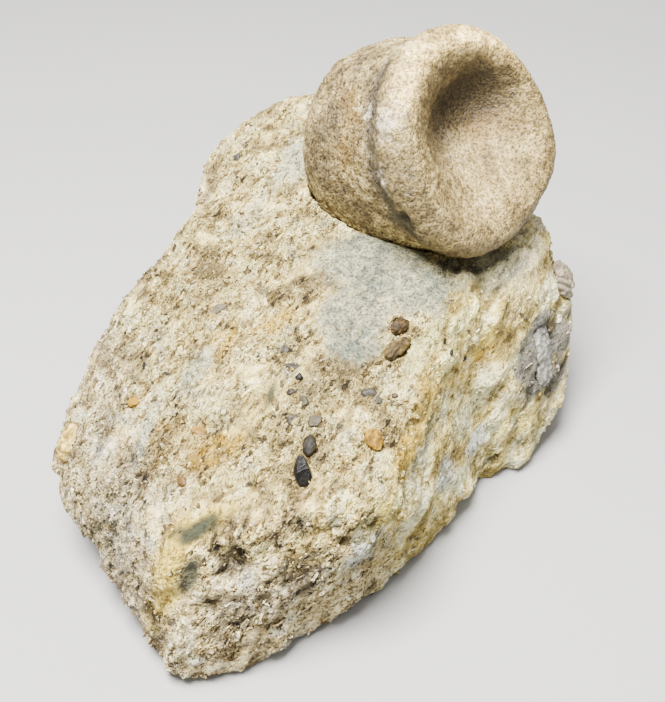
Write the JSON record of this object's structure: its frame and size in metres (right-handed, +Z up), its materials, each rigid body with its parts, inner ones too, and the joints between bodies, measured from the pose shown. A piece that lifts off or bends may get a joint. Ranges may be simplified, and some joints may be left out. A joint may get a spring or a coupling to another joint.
{
  "type": "fossil reptile vertebra in matrix",
  "caption": "Hollow-faced fossil reptile vertebra standing out of a rough block of shelly, pebbly rock that rests on its flat underside.",
  "frame": {"origin": "on the underside, near the middle of the block's footprint", "axes": "+Z up from the surface it rests on; +X to the block's right and +Y to its back, with the vertebra's cup looking between +X and -Y"},
  "size_m": [0.1726, 0.19, 0.1405],
  "materials": {
    "matrix": "rough, cemented shell and phosphate grains",
    "fossil_bone": "fine sugary grain, matt",
    "black_tooth": "glossy black enamel, worn round",
    "dark_pebble": "dark grey phosphate, dull",
    "brown_nodule": "brown phosphate, waxy and worn",
    "ochre_nodule": "ochre, earthy",
    "buff_clast": "buff, earthy",
    "bone_plate": "grey weathered bone, dull",
    "ribbed_shell": "chalky shell"
  },
  "bodies": {
    "root": {"matrix_block": "matrix", "vertebra": "fossil_bone", "black_tooth": "black_tooth", "dark_pebble": "dark_pebble", "brown_nodule": "brown_nodule", "small_brown_nodule": "brown_nodule", "ochre_nodule": "ochre_nodule", "buff_clast": "buff_clast", "bone_plate": "bone_plate", "ribbed_shell": "ribbed_shell"}
  },
  "joints": []
}
